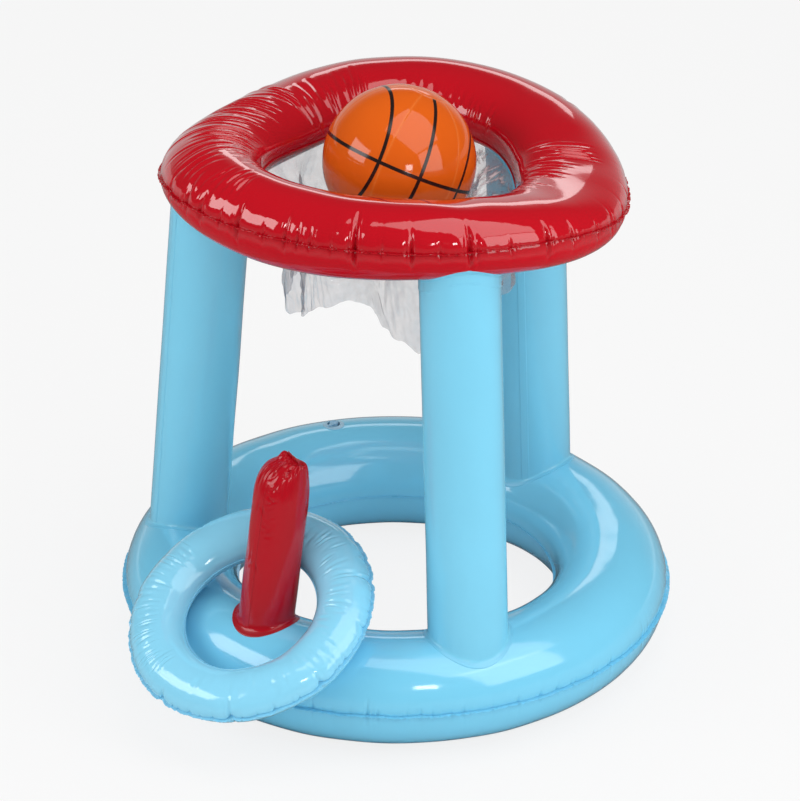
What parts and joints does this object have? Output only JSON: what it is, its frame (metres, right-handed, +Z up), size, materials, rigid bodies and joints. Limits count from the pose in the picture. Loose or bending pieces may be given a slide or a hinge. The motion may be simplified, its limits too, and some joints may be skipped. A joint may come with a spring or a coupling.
{
  "type": "floating basketball hoop",
  "caption": "Inflatable pool basketball hoop: a ring on posts over a ring float, with a film net and ball, and a peg with a toss ring.",
  "frame": {"origin": "on the surface that the float rests on, under the middle of the float", "axes": "+Z up; the picture looks along +Y, from about 8 degrees towards -X and 29 degrees above"},
  "size_m": [0.6098, 0.6098, 0.6484],
  "materials": {
    "blue_vinyl": "glossy sky-blue vinyl film",
    "red_vinyl": "glossy red vinyl film",
    "orange_vinyl": "glossy orange vinyl film with black lines",
    "clear_vinyl": "clear vinyl film",
    "valve_vinyl": "soft translucent blue vinyl"
  },
  "bodies": {
    "float": {"base_upper_film": "blue_vinyl", "base_lower_film": "blue_vinyl", "front_post": "blue_vinyl", "rear_post": "blue_vinyl", "left_post": "blue_vinyl", "hoop_upper_film": "red_vinyl", "hoop_lower_film": "red_vinyl", "net_skirt": "clear_vinyl", "peg": "red_vinyl", "base_valve_cup": "valve_vinyl", "hoop_valve_cup": "valve_vinyl"},
    "toss_ring": {"toss_ring_upper_film": "blue_vinyl", "toss_ring_lower_film": "blue_vinyl", "toss_ring_valve_cup": "valve_vinyl"},
    "ball": {"ball_gore_1": "orange_vinyl", "ball_gore_2": "orange_vinyl", "ball_gore_3": "orange_vinyl", "ball_gore_4": "orange_vinyl", "ball_gore_5": "orange_vinyl", "ball_gore_6": "orange_vinyl", "ball_top_disc": "orange_vinyl", "ball_bottom_disc": "orange_vinyl", "ball_valve_cup": "valve_vinyl"},
    "base_valve_stem": {"base_valve_stem": "valve_vinyl"},
    "base_valve_cap": {"base_valve_cap": "valve_vinyl"},
    "base_valve_flap": {"base_valve_flap": "valve_vinyl"},
    "hoop_valve_stem": {"hoop_valve_stem": "valve_vinyl"},
    "hoop_valve_cap": {"hoop_valve_cap": "valve_vinyl"},
    "hoop_valve_flap": {"hoop_valve_flap": "valve_vinyl"},
    "toss_ring_valve_stem": {"toss_ring_valve_stem": "valve_vinyl"},
    "toss_ring_valve_cap": {"toss_ring_valve_cap": "valve_vinyl"},
    "toss_ring_valve_flap": {"toss_ring_valve_flap": "valve_vinyl"},
    "ball_valve_stem": {"ball_valve_stem": "valve_vinyl"},
    "ball_valve_cap": {"ball_valve_cap": "valve_vinyl"},
    "ball_valve_flap": {"ball_valve_flap": "valve_vinyl"}
  },
  "joints": [
    {"name": "toss_ring_lift", "type": "slide", "parent": "float", "child": "toss_ring", "axis": [0.1349, 0.1349, 0.9816], "range_m": [0, 0.19]},
    {"name": "ball_lift", "type": "slide", "parent": "float", "child": "ball", "axis": [0, 0, 1], "range_m": [0, 0.13]},
    {"name": "base_stem_pull", "type": "slide", "parent": "float", "child": "base_valve_stem", "axis": [0, 0, 1], "range_m": [0, 0.009]},
    {"name": "base_cap_pull", "type": "slide", "parent": "base_valve_stem", "child": "base_valve_cap", "axis": [0, 0, 1], "range_m": [0, 0.012]},
    {"name": "base_flap_swing", "type": "hinge", "parent": "base_valve_stem", "child": "base_valve_flap", "pos_m": [-0.04243, 0.23784, 0.0976], "axis": [-0.1564, 0.9877, 0], "range_deg": [0, 50], "stiffness_Nm_per_rad": 0.00002, "springref_deg": -28.65},
    {"name": "hoop_stem_pull", "type": "slide", "parent": "float", "child": "hoop_valve_stem", "axis": [-0.066, 0.304, -0.9504], "range_m": [0, 0.009]},
    {"name": "hoop_cap_pull", "type": "slide", "parent": "hoop_valve_stem", "child": "hoop_valve_cap", "axis": [-0.066, 0.304, -0.9504], "range_m": [0, 0.012]},
    {"name": "hoop_flap_swing", "type": "hinge", "parent": "hoop_valve_stem", "child": "hoop_valve_flap", "pos_m": [-0.04042, 0.20367, 0.54104], "axis": [0.165, -0.936, -0.3109], "range_deg": [0, 50], "stiffness_Nm_per_rad": 0.00002, "springref_deg": -28.65},
    {"name": "toss_ring_stem_pull", "type": "slide", "parent": "toss_ring", "child": "toss_ring_valve_stem", "axis": [0.3374, 0.3374, -0.8788], "range_m": [0, 0.009]},
    {"name": "toss_ring_cap_pull", "type": "slide", "parent": "toss_ring_valve_stem", "child": "toss_ring_valve_cap", "axis": [0.3374, 0.3374, -0.8788], "range_m": [0, 0.012]},
    {"name": "toss_ring_flap_swing", "type": "hinge", "parent": "toss_ring_valve_stem", "child": "toss_ring_valve_flap", "pos_m": [-0.24366, -0.2503, 0.08046], "axis": [0.6214, 0.6214, 0.4772], "range_deg": [0, 50], "stiffness_Nm_per_rad": 0.00002, "springref_deg": -28.65},
    {"name": "ball_stem_pull", "type": "slide", "parent": "ball", "child": "ball_valve_stem", "axis": [-0.4217, -0.2484, -0.8721], "range_m": [0, 0.009]},
    {"name": "ball_cap_pull", "type": "slide", "parent": "ball_valve_stem", "child": "ball_valve_cap", "axis": [-0.4217, -0.2484, -0.8721], "range_m": [0, 0.012]},
    {"name": "ball_flap_swing", "type": "hinge", "parent": "ball_valve_stem", "child": "ball_valve_flap", "pos_m": [-0.02505, -0.01965, 0.51497], "axis": [0.898, 0.0188, -0.4396], "range_deg": [0, 50], "stiffness_Nm_per_rad": 0.00002, "springref_deg": -28.65}
  ]
}
